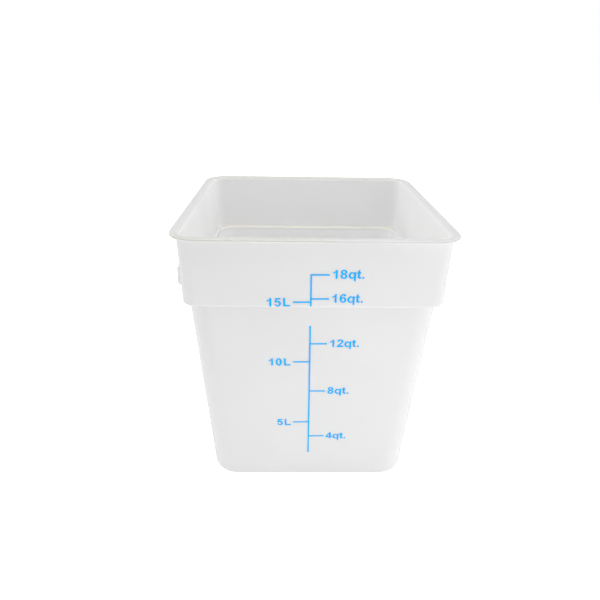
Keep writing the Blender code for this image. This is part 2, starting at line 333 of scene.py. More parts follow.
class StudioSettings(bpy.types.PropertyGroup):
    """Light and camera."""

    tent_left: brightness("Tent Left", "Brightness of the light tent on the left", 1.70)
    tent_right: brightness("Tent Right", "Brightness of the light tent on the right", 1.73)
    tent_front: brightness("Tent Front", "Brightness of the light tent behind the camera", 0.0)
    tent_back: brightness("Tent Back", "Brightness of the light tent behind the tub", 0.31)
    tent_top: brightness("Tent Top", "Brightness of the light tent overhead", 0.64)
    tent_mirror: brightness("Tent Reflection", "Brightness of the light tent in reflections", 0.70)
    floor_lift: brightness("Floor Lift", "How far the floor is exposed towards plain white", 0.8)
    floor_glow: brightness("Floor Glow", "Light that the bright floor gives the tub from close by",
                           0.155)
    key_power: brightness("Key Light", "Power of the soft light in front, on the right",
                          0.84, unit="POWER")
    overhead_power: brightness("Overhead Light", "Power of the large soft light over the tub",
                               4.38, unit="POWER")
    camera_place: FloatVectorProperty(
        name="Camera Place", description="Where the camera stands",
        default=(-0.02466, -0.57790, 0.46577), size=3, subtype="TRANSLATION", unit="LENGTH")
    camera_yaw: turn("Camera Yaw", "How far the camera turns to its right", 1.32)
    camera_pitch: turn("Camera Pitch", "How far the camera looks down", 25.70)
    camera_roll: turn("Camera Roll", "How far the camera tips about its own line of sight", 1.00)
    focal_length: FloatProperty(
        name="Focal Length", description="Focal length on a 36 mm wide sensor, in millimetres",
        default=29.558, min=1.0)


def add_object(name, builder):
    """Link a finished bmesh as an object at the origin."""
    mesh = bpy.data.meshes.new(name)
    builder.to_mesh(mesh)
    builder.free()
    made = bpy.data.objects.new(name, mesh)
    bpy.context.scene.collection.objects.link(made)
    return made


def smooth(made):
    """Shade a piece smooth, with its real edges kept."""
    made.data.shade_smooth()
    made.data.set_sharp_from_angle(angle=SHARP_ANGLE)


def settle(made):
    """Apply an object's modifiers to its mesh."""
    graph = bpy.context.evaluated_depsgraph_get()
    solid = bpy.data.meshes.new_from_object(made.evaluated_get(graph))
    made.modifiers.clear()
    old = made.data
    made.data = solid
    bpy.data.meshes.remove(old)


def section_loft(sections, count, place):
    """Extrude one ring of edges through the sections and close both ends."""
    builder = bmesh.new()
    first = bmesh.ops.create_circle(builder, cap_ends=True, segments=count, radius=1.0)
    verts = list(first["verts"])
    edges = list(builder.edges)
    place(verts, sections[0])
    for section in sections[1:]:
        grown = bmesh.ops.extrude_edge_only(builder, edges=edges)["geom"]
        verts = [item for item in grown if isinstance(item, bmesh.types.BMVert)]
        edges = [item for item in grown if isinstance(item, bmesh.types.BMEdge)
                 and all(vert in verts for vert in item.verts)]
        place(verts, section)
    bmesh.ops.contextual_create(builder, geom=edges)
    bmesh.ops.recalc_face_normals(builder, faces=builder.faces)
    return builder


def swing(start, end, segments):
    """Angles from start to end, which are in degrees, in radians."""
    return [math.radians(start + (end - start) * step / segments)
            for step in range(segments + 1)]


def round_over(half, corner, height, radius, start, end, segments=ARC_SEGMENTS):
    """Sections along an arc of the wall's profile, from angle start to end in degrees.

    Angle 0 points out of the tub and 90 points up.
    """
    sections = []
    for angle in swing(start, end, segments):
        reach = radius * math.cos(angle)
        sections.append((half + reach, corner + reach, height + radius * math.sin(angle)))
    return sections


def wall_halves(sizes, inset=0.0):
    """Half widths at the collar's top, the collar's foot and the body's top."""
    collar_top = sizes.rim_size / 2 - sizes.rim_overhang - inset
    collar_foot = collar_top - sizes.collar_draft
    return collar_top, collar_foot, collar_foot - sizes.step_depth


def body_lean(sizes):
    """The angle that the body's walls lean out at."""
    return math.atan2(wall_halves(sizes)[-1] - sizes.base_size / 2, sizes.step_height)


def step_fillets(sizes):
    """Radii of the step's outer edge and of its root, which share the step's depth."""
    limit = sizes.step_depth * STEP_FILLET_SHARE
    return min(sizes.step_edge, limit), min(sizes.rim_root, limit)


def base_rounding(sizes, inset=0.0, height=0.0, upwards=True):
    """Sections of the rounding between floor and wall, inset into the plastic."""
    lean = body_lean(sizes)
    radius = sizes.base_edge - inset
    half = sizes.base_size / 2 - inset
    centre = half + math.tan(lean) * (height + radius) - radius / math.cos(lean)
    corner = sizes.base_corner - inset - radius
    ends = (-90.0, -math.degrees(lean))
    start, end = ends if upwards else reversed(ends)
    return round_over(centre, corner, height + radius, radius, start, end, EDGE_SEGMENTS)


def lip_sections(sizes):
    """The lip's outer edge, with the fine step that the mould's parting line leaves."""
    radius = sizes.rim_thickness / 2
    centre = (sizes.rim_size / 2 - radius, sizes.rim_corner - radius,
              sizes.total_height - radius)
    below = round_over(*centre, radius - PARTING_INSET, -90, PARTING_ANGLE, ARC_SEGMENTS // 2)
    above = round_over(*centre, radius, PARTING_ANGLE, 90)
    return below + above


def panel_sections(sizes, height):
    """Sections from the foot's inner edge, at this height, up to the base's raised panel."""
    half, corner, _ = base_rounding(sizes)[0]
    half -= sizes.foot_width
    corner -= sizes.foot_width
    sections = [(half, corner, height)]
    for inset in (sizes.panel_slope, sizes.panel_slope + PANEL_MARGIN):
        sections.append((half - inset, corner - inset, height + sizes.panel_rise))
    return sections


def outer_sections(sizes):
    """Sections up the outside, from the panel under the base to the lip."""
    step_edge, step_root = step_fillets(sizes)
    collar_top, collar_foot, body_top = wall_halves(sizes)
    sections = list(reversed(panel_sections(sizes, 0.0)))
    sections += base_rounding(sizes)
    sections += round_over(body_top + step_root, sizes.body_top_corner + step_root,
                           sizes.step_height - step_root, step_root, 180, 90)
    sections += round_over(collar_foot - step_edge, sizes.collar_corner - step_edge,
                           sizes.step_height + step_edge, step_edge, -90, 0)
    sections += round_over(collar_top + sizes.rim_root, sizes.collar_corner + sizes.rim_root,
                           sizes.total_height - sizes.rim_thickness - sizes.rim_root,
                           sizes.rim_root, 180, 90)
    return sections + lip_sections(sizes)


def inner_sections(sizes):
    """Sections down the inside, from the mouth to the floor."""
    step_edge, step_root = step_fillets(sizes)
    collar_top, collar_foot, body_top = wall_halves(sizes, sizes.wall)
    corner = sizes.collar_corner - sizes.wall
    ledge = sizes.step_height + sizes.wall
    sections = round_over(collar_top + sizes.mouth_edge, corner + sizes.mouth_edge,
                          sizes.total_height - sizes.mouth_edge, sizes.mouth_edge,
                          90, 180, EDGE_SEGMENTS)
    sections += round_over(collar_foot - step_root, corner - step_root,
                           ledge + step_root, step_root, 0, -90)
    sections += round_over(body_top + step_edge,
                           sizes.body_top_corner - sizes.wall + step_edge,
                           ledge - step_edge, step_edge, 90, 180)
    sections += base_rounding(sizes, sizes.wall, sizes.floor_thickness, upwards=False)
    return sections + panel_sections(sizes, sizes.floor_thickness)


def place_square(verts, section):
    """Move a ring of vertices onto a rounded square: a corner, then a side, four times."""
    half, corner, height = section
    straight = half - corner
    for index, vert in enumerate(verts):
        quarter, step = divmod(index, QUARTER_COLUMNS)
        if step <= CORNER_SEGMENTS:
            angle = math.radians(90 * step / CORNER_SEGMENTS)
            place = Vector((straight + corner * math.cos(angle),
                            straight + corner * math.sin(angle), height))
        else:
            share = SIDE_COLUMN_SHARES[step - CORNER_SEGMENTS - 1]
            place = Vector((straight * (1 - 2 * share), half, height))
        vert.co = Matrix.Rotation(math.radians(90 * quarter), 3, "Z") @ place


def grip_sections(sizes):
    """Sections of one hollow grip, as insets and heights: the pocket, then the outside."""
    low = sizes.step_height + sizes.grip_lift
    high = low + sizes.grip_height
    rim = GRIP_RIM_RADIUS
    pocket_top = sizes.grip_top - sizes.grip_wall / 2

    def arc(inset, height, radius, start, end, outwards):
        flare = sizes.grip_flare * (height - low) / sizes.grip_height
        return [(inset + flare - outwards * radius * math.cos(angle),
                 height + radius * math.sin(angle))
                for angle in swing(start, end, ARC_SEGMENTS)]

    ceiling = high - sizes.grip_wall
    sections = arc(sizes.grip_wall + pocket_top, ceiling - pocket_top, pocket_top, 90, 0, 1)
    sections += arc(sizes.grip_wall - rim, low + rim, rim, 0, -90, -1)
    sections += arc(rim, low + rim, rim, -90, 0, 1)
    sections += arc(sizes.grip_top, high - sizes.grip_top, sizes.grip_top, 0, 90, 1)
    return sections


def build_grip(sizes, side):
    """One hand grip: an upside-down trough whose back lies inside the collar's wall."""
    buried = wall_halves(sizes)[1] - sizes.wall * GRIP_BURIED_SHARE
    outer = sizes.grip_span / 2
    half_length = sizes.grip_length / 2

    def place(verts, section):
        inset, height = section
        corner = max(sizes.grip_corner - inset, sizes.grip_wall / 2)
        reach = outer - inset
        end = half_length - inset
        per_corner = EDGE_SEGMENTS + 1
        for index, vert in enumerate(verts):
            if index in (0, len(verts) - 1):
                across = -1 if index == 0 else 1
                vert.co = (side * buried, side * across * end, height)
                continue
            corner_index, step = divmod(index - 1, per_corner)
            angle = math.radians(90 * (corner_index - 1) + 90 * step / EDGE_SEGMENTS)
            across = -1 if corner_index == 0 else 1
            vert.co = (side * (reach - corner + corner * math.cos(angle)),
                       side * (across * (end - corner) + corner * math.sin(angle)), height)

    return section_loft(grip_sections(sizes), 2 * (EDGE_SEGMENTS + 1) + 2, place)


def root_edges(builder, sizes):
    """The concave edges where the grips' outsides meet the collar."""
    wall_face = wall_halves(sizes)[0]
    low = sizes.step_height + sizes.grip_lift
    high = low + sizes.grip_height + sizes.grip_wall / 2
    half_length = sizes.grip_length / 2
    reach = 2 * (sizes.collar_draft + sizes.grip_lift)
    found = []
    for edge in builder.edges:
        middle = (edge.verts[0].co + edge.verts[1].co) / 2
        if abs(abs(middle.x) - wall_face) > reach or not low < middle.z < high:
            continue
        at_end = abs(abs(middle.y) - half_length) < sizes.grip_flare + sizes.grip_lift
        at_top = abs(middle.z - low - sizes.grip_height) < sizes.grip_lift
        if not (at_end or at_top) or not edge.is_manifold or edge.is_convex:
            continue
        if edge.calc_face_angle(0.0) > GRIP_ROOT_ANGLE:
            found.append(edge)
    return found


def turned(profile):
    """Spin a profile of radius and height, which starts and ends on the axis, round +Z."""
    builder = bmesh.new()
    corners = [builder.verts.new((radius, 0.0, height)) for radius, height in profile]
    edges = [builder.edges.new(pair) for pair in zip(corners, corners[1:])]
    bmesh.ops.spin(builder, geom=corners + edges, cent=(0.0, 0.0, 0.0), axis=(0.0, 0.0, 1.0),
                   angle=math.tau, steps=GATE_SEGMENTS, use_merge=True)
    bmesh.ops.remove_doubles(builder, verts=builder.verts, dist=GATE_WELD)
    bmesh.ops.recalc_face_normals(builder, faces=builder.faces)
    return builder


def gate_forms(sizes):
    """The injection gate under the floor: a shallow dished well and its cut-off nub."""
    under = sizes.panel_rise
    ceiling = under + GATE_WELL_DEPTH
    well = turned([(0.0, ceiling), (GATE_WELL_RADIUS - GATE_WELL_SLOPE, ceiling),
                   (GATE_WELL_RADIUS, under), (GATE_WELL_RADIUS, under - GATE_OVERRUN),
                   (0.0, under - GATE_OVERRUN)])
    tip = ceiling - GATE_NUB_HEIGHT
    nub = turned([(0.0, ceiling + GATE_OVERRUN), (GATE_NUB_RADIUS, ceiling + GATE_OVERRUN),
                  (GATE_NUB_RADIUS, tip + GATE_OVERRUN / 2),
                  (GATE_NUB_RADIUS - GATE_OVERRUN / 2, tip), (0.0, tip)])
    return well, nub


class FOODTUB_OT_moulding(bpy.types.Operator):
    """Mould the tub with its rim, collar, step, body, floor and hand grips"""

    bl_idname = "food_tub.moulding"
    bl_label = "Moulded Tub"

    def execute(self, context):
        sizes = context.scene.food_tub_sizes
        sections = outer_sections(sizes) + inner_sections(sizes)
        tub = add_object("tub_moulding",
                         section_loft(sections, 4 * QUARTER_COLUMNS, place_square))
        well, nub = gate_forms(sizes)
        forms = []
        for name, form, operation in (("left_grip", build_grip(sizes, -1), "UNION"),
                                      ("right_grip", build_grip(sizes, 1), "UNION"),
                                      ("gate_well", well, "DIFFERENCE"),
                                      ("gate_nub", nub, "UNION")):
            forms.append(add_object(name + "_form", form))
            step = tub.modifiers.new(name, "BOOLEAN")
            step.operation = operation
            step.solver = "EXACT"
            step.object = forms[-1]
        settle(tub)
        for form in forms:
            bpy.data.objects.remove(form)
        self.fillet_roots(tub, sizes)
        smooth(tub)
        tub.data.materials.clear()
        tub.data.materials.append(polypropylene(sizes, context.scene.food_tub_colours))
        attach(tub, BODY)
        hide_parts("tub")
        return {"FINISHED"}

    def fillet_roots(self, tub, sizes):
        """Round the inside corners where the grips grow out of the collar."""
        builder = bmesh.new()
        builder.from_mesh(tub.data)
        edges = root_edges(builder, sizes)
        bmesh.ops.bevel(builder, geom=edges, offset=GRIP_ROOT_FILLET,
                        segments=GRIP_ROOT_SEGMENTS, affect="EDGES", profile=0.5, material=-1,
                        clamp_overlap=True)
        builder.to_mesh(tub.data)
        builder.free()


def wall_flat(sizes, upper):
    """Lower and upper end of the front wall's flat, each as half width and height."""
    collar_top, collar_foot, body_top = wall_halves(sizes)
    step_edge, step_root = step_fillets(sizes)
    if upper:
        return ((collar_foot, sizes.step_height + step_edge),
                (collar_top, sizes.total_height - sizes.rim_thickness - sizes.rim_root))
    half, _, height = base_rounding(sizes)[-1]
    return (half, height), (body_top, sizes.step_height - step_root)


def film_frame(sizes, scale, upper):
    """The print's own plane: x along the wall, z up it, y into it, from the print's foot."""
    (low_half, low), (high_half, high) = wall_flat(sizes, upper)
    lean = math.atan2(high_half - low_half, high - low)
    foot_height = sizes.step_height if upper else 0.0
    foot_half = low_half - math.tan(lean) * (low - foot_height)
    shift = scale.foot_x - math.tan(scale.lean) * foot_height
    return (Matrix.Translation((shift, -foot_half, foot_height))
            @ Matrix.Rotation(lean, 4, "X") @ Matrix.Rotation(-scale.lean, 4, "Y"))


def print_span(sizes, upper):
    """The length up the wall that a print's marks divide."""
    if upper:
        return math.hypot(sizes.collar_draft, sizes.total_height - sizes.step_height)
    return sizes.step_height / math.cos(body_lean(sizes))


def comb_outline(scale, marks, span):
    """Corners of the spine and its marks, anticlockwise from the spine's foot."""
    half = scale.line_width / 2
    tick = scale.tick_length
    low, high = (share * span for share in marks["spine"])
    quarts = [share * span for share, _ in marks["quarts"]]
    litres = [share * span for share, _ in marks["litres"]]
    points = [(-half, low - half), (half, low - half)]
    for mark in sorted(quarts):
        points += [(half, mark - half), (tick, mark - half), (tick, mark + half)]
        if mark < high:
            points.append((half, mark + half))
    if max(quarts) < high:
        points.append((half, high + half))
    points.append((-half, high + half))
    for mark in sorted(litres, reverse=True):
        points += [(-half, mark + half), (-tick, mark + half),
                   (-tick, mark - half), (-half, mark - half)]
    return points


def ink_piece(name, builder, matrix, colours):
    """Lay a piece of the print on the wall and give it its ink."""
    bmesh.ops.recalc_face_normals(builder, faces=builder.faces)
    bmesh.ops.transform(builder, matrix=matrix, verts=builder.verts)
    made = add_object(name, builder)
    made.data.materials.append(scale_ink(colours))
    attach(made, BODY)
    return made


class FOODTUB_OT_scale_lines(bpy.types.Operator):
    """Print the spines and marks of the fill scale"""

    bl_idname = "food_tub.scale_lines"
    bl_label = "Scale Lines"

    def execute(self, context):
        sizes = context.scene.food_tub_sizes
        scale = context.scene.food_tub_scale
        colours = context.scene.food_tub_colours
        for upper, marks, node in ((True, COLLAR_MARKS, "upper_scale_print"),
                                   (False, BODY_MARKS, "lower_scale_print")):
            outline = comb_outline(scale, marks, print_span(sizes, upper))
            builder = bmesh.new()
            sunk = scale.film * INK_SUNK_SHARE
            builder.faces.new([builder.verts.new((x, sunk, z)) for x, z in outline])
            bmesh.ops.bevel(builder, geom=builder.verts, offset=INK_CORNER_RADIUS,
                            segments=INK_CORNER_SEGMENTS, affect="VERTICES", profile=0.5,
                            material=-1)
            grown = bmesh.ops.extrude_face_region(builder, geom=builder.faces[:])["geom"]
            front = [item for item in grown if isinstance(item, bmesh.types.BMVert)]
            bmesh.ops.translate(builder, verts=front, vec=(0.0, -scale.film - sunk, 0.0))
            lines = ink_piece(node.replace("print", "lines"), builder,
                              film_frame(sizes, scale, upper), colours)
            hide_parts(node)
        return {"FINISHED"}


def glyph_handle(place, way, other, sign):
    """Handle of a node: along its way for a rounded side, along the chord for a straight one."""
    chord = other - place
    if way == "-":
        return (*(place + chord / 3), 0.0)
    direction = WAYS[way] * sign
    return (*(place + direction * abs(chord.dot(direction)) * CURVE_SHARE), 0.0)


def add_contour(curve, nodes, origin_x, unit):
    """Add one closed outline of a character to a flat curve."""
    spline = curve.splines.new("BEZIER")
    spline.bezier_points.add(len(nodes) - 1)
    spline.use_cyclic_u = True
    places = [Vector((origin_x + x * GLYPH_STRETCH * unit, y * unit)) for x, y, *_ in nodes]
    for index, point in enumerate(spline.bezier_points):
        here = places[index]
        ways = nodes[index][2] if len(nodes[index]) > 2 else "-"
        point.handle_left_type = "FREE"
        point.handle_right_type = "FREE"
        point.co = (*here, 0.0)
        point.handle_left = glyph_handle(here, ways[0], places[index - 1], -1)
        point.handle_right = glyph_handle(here, ways[-1], places[(index + 1) % len(places)], 1)


def label_width(text, unit):
    """Length of a row of characters."""
    return sum(GLYPHS[letter][0] for letter in text) * GLYPH_STRETCH * unit


def label_form(text, scale):
    """A row of characters as a thin flat solid, from its left end at the baseline."""
    unit = scale.cap_height / 100
    curve = bpy.data.curves.new(text, "CURVE")
    curve.dimensions = "2D"
    curve.fill_mode = "BOTH"
    curve.resolution_u = GLYPH_RESOLUTION
    curve.extrude = scale.film * (1 + INK_SUNK_SHARE) / 2
    pen = 0.0
    for letter in text:
        advance, contours = GLYPHS[letter]
        for nodes in contours:
            add_contour(curve, nodes, pen, unit)
        pen += advance * GLYPH_STRETCH * unit
    form = bpy.data.objects.new(text, curve)
    bpy.context.scene.collection.objects.link(form)
    graph = bpy.context.evaluated_depsgraph_get()
    builder = bmesh.new()
    builder.from_mesh(form.evaluated_get(graph).to_mesh())
    bpy.data.objects.remove(form)
    bpy.data.curves.remove(curve)
    bmesh.ops.remove_doubles(builder, verts=builder.verts, dist=scale.film * INK_WELD_SHARE)
    return builder


class FOODTUB_OT_scale_figures(bpy.types.Operator):
    """Print the figures and units beside the marks"""

    bl_idname = "food_tub.scale_figures"
    bl_label = "Scale Figures"

    def execute(self, context):
        sizes = context.scene.food_tub_sizes
        scale = context.scene.food_tub_scale
        upright = Matrix.Rotation(math.pi / 2, 4, "X")
        depth = scale.film * (1 - INK_SUNK_SHARE) / 2
        for upper, marks in ((True, COLLAR_MARKS), (False, BODY_MARKS)):
            labels = []
            for share, figure in marks["quarts"]:
                labels.append((figure + "qt.", figure + "_quart", share, QUART_LABEL_RISE,
                               scale.tick_length + LABEL_CLEARANCE))
            for share, figure in marks["litres"]:
                width = label_width(figure + "L", scale.cap_height / 100)
                labels.append((figure + "L", figure + "_litre", share, 0.0,
                               -scale.tick_length - LITRE_CLEARANCE - width))
            for text, name, share, rise, left in labels:
                baseline = share * print_span(sizes, upper) - scale.cap_height / 2 + rise
                place = Matrix.Translation((left, -depth, baseline))
                ink_piece("label_" + name, label_form(text, scale),
                          film_frame(sizes, scale, upper) @ place @ upright,
                          context.scene.food_tub_colours)
        return {"FINISHED"}


def feed(tree, source, socket):
    """Give a socket a value, or what another node puts out."""
    if isinstance(source, bpy.types.NodeSocket):
        tree.links.new(source, socket)
    else:
        socket.default_value = source


def add_node(tree, kind, sources=(), **values):
    """Add a node, set its properties and sockets by name, and feed its first sockets."""
    made = tree.nodes.new(kind)
    for name, value in values.items():
        if hasattr(made, name):
            setattr(made, name, value)
        else:
            feed(tree, value, made.inputs[name.replace("_", " ").title()])
    for source, socket in zip(sources, made.inputs):
        feed(tree, source, socket)
    return made


def number_math(tree, operation, *sources, clamp=False):
    """The result of a Math node."""
    return add_node(tree, "ShaderNodeMath", sources, operation=operation,
                    use_clamp=clamp).outputs[0]


def vector_math(tree, operation, *sources):
    """The result of a Vector Math node."""
    made = add_node(tree, "ShaderNodeVectorMath", sources, operation=operation)
    return made.outputs["Value" if operation in ("DOT_PRODUCT", "LENGTH") else "Vector"]


def ranged(tree, value, source=(0.0, 1.0), target=(0.0, 1.0), smooth=False):
    """A value carried from one pair of ends to another, in a straight line or eased."""
    return add_node(tree, "ShaderNodeMapRange", (value, *source, *target),
                    interpolation_type="SMOOTHSTEP" if smooth else "LINEAR").outputs["Result"]


def coordinate(tree, kind="Object"):
    """A surface coordinate."""
    return add_node(tree, "ShaderNodeTexCoord").outputs[kind]


def axes(tree, vector):
    """The three numbers of a vector, by axis."""
    return add_node(tree, "ShaderNodeSeparateXYZ", (vector,)).outputs


def noise(tree, **values):
    """Noise on Object coordinates."""
    return add_node(tree, "ShaderNodeTexNoise", vector=coordinate(tree), **values).outputs["Fac"]


def mixed(tree, mask, first, second, kind="FLOAT"):
    """What goes from first to second with the mask."""
    return add_node(tree, "ShaderNodeMix", data_type=kind, factor=mask, a=first,
                    b=second).outputs["Result"]


def mix_colours(tree, mask, first, second):
    """A colour that goes from first to second with the mask."""
    ends = [end if isinstance(end, bpy.types.NodeSocket) else (*end, 1.0)
            for end in (first, second)]
    return mixed(tree, mask, *ends, kind="RGBA")


def shared(tree, name, inputs, outputs, build, values):
    """What a node group puts out in a tree, with its own values there; it is built once."""
    if name not in bpy.data.node_groups:
        group = bpy.data.node_groups.new(name, "ShaderNodeTree")
        for label, value in inputs.items():
            socket = group.interface.new_socket(label, in_out="INPUT",
                                                socket_type="NodeSocketFloat")
            socket.default_value = value
        for label in outputs:
            group.interface.new_socket(label, in_out="OUTPUT", socket_type="NodeSocketFloat")
        entry = group.nodes.new("NodeGroupInput").outputs
        leave = group.nodes.new("NodeGroupOutput").inputs
        for label, result in zip(outputs, build(group, entry)):
            feed(group, result, leave[label])
    made = tree.nodes.new("ShaderNodeGroup")
    made.node_tree = bpy.data.node_groups[name]
    for label, value in values.items():
        made.inputs[label.replace("_", " ").title()].default_value = value
    return made.outputs


def build_cloud(group, entry):
    """Noise, stretched about its middle."""
    half = number_math(group, "MULTIPLY", entry["Contrast"], CLOUD_HALF_SPREAD)
    ends = [number_math(group, side, 0.5, half) for side in ("SUBTRACT", "ADD")]
    patches = noise(group, detail=3.0, roughness=0.5, distortion=0.6, scale=entry["Scale"])
    return [ranged(group, patches, ends)]


def cloud(tree, **values):
    """Soft cloudy patches: a mask of 0 to 1 that drifts over the piece."""
    return shared(tree, "Resin Cloud", {"Scale": 9.0, "Contrast": 0.5}, ["Mask"], build_cloud,
                  values)["Mask"]


def build_skin(group, entry):
    """Slow noise, with a little fine noise on it."""
    wave = noise(group, detail=1.0, roughness=0.4, scale=entry["Wave Scale"])
    peel = noise(group, detail=2.0, roughness=0.5, scale=entry["Peel Scale"])
    slow = number_math(group, "MULTIPLY", wave, entry["Wave Height"])
    return [number_math(group, "MULTIPLY_ADD", peel, entry["Peel Height"], slow)]


def skin(tree, **values):
    """Height of a moulded skin: slow waves from shrinkage and a fine orange peel."""
    return shared(tree, "Moulded Skin", {"Wave Scale": 14.0, "Wave Height": 1.0,
                                         "Peel Scale": 700.0, "Peel Height": 0.05},
                  ["Height"], build_skin, values)["Height"]


def build_thick(group, entry):
    """Product of soft steps at the two heights and at the rounded square's outline."""
    place = coordinate(group)
    height = axes(group, place)["Z"]
    reach = vector_math(group, "ABSOLUTE", place)
    sides = axes(group, reach)
    blend = number_math(group, "MULTIPLY", entry["Blend"], -1.0)
    runs = ranged(group, number_math(group, "SUBTRACT", sides["Y"], sides["X"]), (blend, 0.0),
                  smooth=True)
    straights = add_node(group, "ShaderNodeCombineXYZ",
                         (entry["Straight"], entry["Straight"], 1.0)).outputs[0]
    inset = vector_math(group, "SUBTRACT", reach, straights)
    radius = vector_math(group, "LENGTH", vector_math(group, "MAXIMUM", inset))
    feathered = number_math(group, "ADD", entry["Corner"], entry["Feather"])
    band = ranged(group, radius, (entry["Corner"], feathered), smooth=True)
    for limit, side in (("Low", "SUBTRACT"), ("High", "ADD")):
        edge = number_math(group, side, entry[limit], entry["Softness"])
        rise = ranged(group, height, (edge, entry[limit]), smooth=True)
        band = number_math(group, "MULTIPLY", band, rise)
    return [band, number_math(group, "MULTIPLY", band, runs)]


def thick(tree, **values):
    """A band of heights outside a rounded square, and the front and back runs of both. These masks
    place the rim's and ledge's painted shade and the painted glow under the lip and step.

    The rounded square is given by the half length of its straight sides and its corner radius.
    """
    return shared(tree, "Height Band Mask",
                  {"Low": 0.0, "High": 1.0, "Softness": 0.001, "Blend": 0.02, "Straight": 0.0,
                   "Corner": 0.0, "Feather": 0.002}, ["Band", "Runs"], build_thick, values)


def new_material(name, **values):
    """A material, its node tree and its shader, with uniform values on the shader's sockets."""
    made = bpy.data.materials.new(name)
    made.use_nodes = True
    shader = made.node_tree.nodes["Principled BSDF"]
    for label, value in values.items():
        socket = label.replace("_", " ").title().replace("Ior", "IOR")
        shader.inputs[socket].default_value = value
    return made, made.node_tree, shader.inputs


def tub_masks(tree, sizes, patches):
    """Masks of the tub's painted tones: the rim, partly its own tone and partly painted shade,
    with cream and painted shade on its runs; painted shade on the ledge; painted light deep
    inside; and painted glow on the undersides of the lip and step.
    """
    top = sizes.total_height
    lip_middle = top - sizes.rim_thickness / 2
    ledge_top = sizes.step_height + sizes.wall
    # Rim band: where the rim's tone with its painted shade goes
    rim = thick(tree, low=lip_middle + RIM_TONE_RISE, high=top, softness=RIM_TONE_SOFTNESS,
                feather=RIM_TONE_FEATHER * sizes.mouth_edge,
                straight=sizes.rim_size / 2 - sizes.rim_overhang - sizes.collar_corner,
                corner=sizes.collar_corner - sizes.wall)
    # Lip and step bands, for the painted glow on their undersides
    lip = thick(tree, low=top - sizes.rim_thickness, high=lip_middle, softness=GLOW_SOFTNESS)
    step = thick(tree, low=sizes.step_height, high=sizes.step_height + sizes.step_edge,
                 softness=GLOW_SOFTNESS)
    # Ledge band: its upward faces take the ledge's painted shade
    ledge = thick(tree, low=sizes.step_height, high=ledge_top, softness=LEDGE_SOFTNESS,
                  blend=LEDGE_SOFTNESS)
    place = coordinate(tree)
    normal = coordinate(tree, "Normal")
    upright = axes(tree, normal)["Z"]

    def both(first, second, clamp=False):
        return number_math(tree, "MULTIPLY", first, second, clamp=clamp)

    # Cream tint and painted shade on the rim's front and back runs, in patches, fading out towards
    # the front right
    diagonal = vector_math(tree, "DOT_PRODUCT", place, (1.0, -1.0, 0.0))
    fade_ends = [share * sizes.rim_size / 2 for share in CREAM_FADE]
    run_tint_and_shade = both(both(rim["Runs"], ranged(tree, patches, target=(CREAM_LEAST, 1.0))),
                 ranged(tree, diagonal, fade_ends, (1.0, 0.0), smooth=True))
    # Painted light on the inner faces below the step
    level = vector_math(tree, "MULTIPLY", place, (1.0, 1.0, 0.0))
    inward = ranged(tree, vector_math(tree, "DOT_PRODUCT", level, normal), (INWARD, 0.0),
                    (1.0, 0.0))
    below = ranged(tree, axes(tree, place)["Z"],
                   (sizes.step_height - sizes.wall, sizes.step_height), (1.0, 0.0), smooth=True)
    # Painted glow on the lip's and step's undersides
    painted_glow_band = number_math(tree, "MULTIPLY_ADD", step["Band"], STEP_GLOW_SHARE, lip["Band"],
                       clamp=True)
    return {"deep": both(inward, below), "rim": rim["Band"], "rim_run_painted_shade": rim["Runs"],
            "rim_run_cream_and_shade": run_tint_and_shade, "ledge": both(upright, ledge["Band"], clamp=True),
            "ledge_run_cream_and_shade": both(upright, ledge["Runs"], clamp=True),
            "painted_underside_glow": both(ranged(tree, upright, UNDERSIDE, (1.0, 0.0)), painted_glow_band)}


def polypropylene(sizes, colours):
    """Natural polypropylene: milky, light passes a wall and spreads, satin gloss. Its colour
    carries painted shade on the rim and ledge and painted light deep inside, and its emission a
    painted glow under the lip and step.
    """
    made, tree, shader = new_material(
        "Natural Polypropylene", metallic=0.0, ior=1.49, subsurface_weight=1.0,
        subsurface_radius=(1.0, 1.0, 1.0), subsurface_scale=MILK_DEPTH, coat_weight=0.0,
        emission_strength=UNDERSIDE_PAINTED_GLOW)
    patches = cloud(tree, **TINT_CLOUD)
    masks = tub_masks(tree, sizes, patches)
    base = mix_colours(tree, ranged(tree, patches, target=(0.0, CLOUD_TINT)), colours.plastic,
                       colours.rim)
    # The rim's tone with its painted shade, the ledge's painted shade and the painted light deep
    # inside go into the base colour
    for part in ("deep", "rim", "rim_run_painted_shade", "rim_run_cream_and_shade", "ledge", "ledge_run_cream_and_shade"):
        base = mix_colours(tree, masks[part], base, getattr(colours, part))
    feed(tree, base, shader["Base Color"])
    # Painted glow: emission on the undersides of the lip and step
    feed(tree, mix_colours(tree, masks["painted_underside_glow"], (0.0, 0.0, 0.0), (1.0, 1.0, 1.0)),
         shader["Emission Color"])
    feed(tree, ranged(tree, cloud(tree, **GLOSS_CLOUD), target=PLASTIC_ROUGHNESS),
         shader["Roughness"])
    add_bump(tree, shader, skin(tree, **PLASTIC_SKIN), *PLASTIC_BUMP)
    return made


def add_bump(tree, shader, height, strength, distance):
    """Raise a shader's surface by a height."""
    bump = add_node(tree, "ShaderNodeBump", strength=strength, distance=distance)
    feed(tree, height, bump.inputs["Height"])
    feed(tree, bump.outputs["Normal"], shader["Normal"])


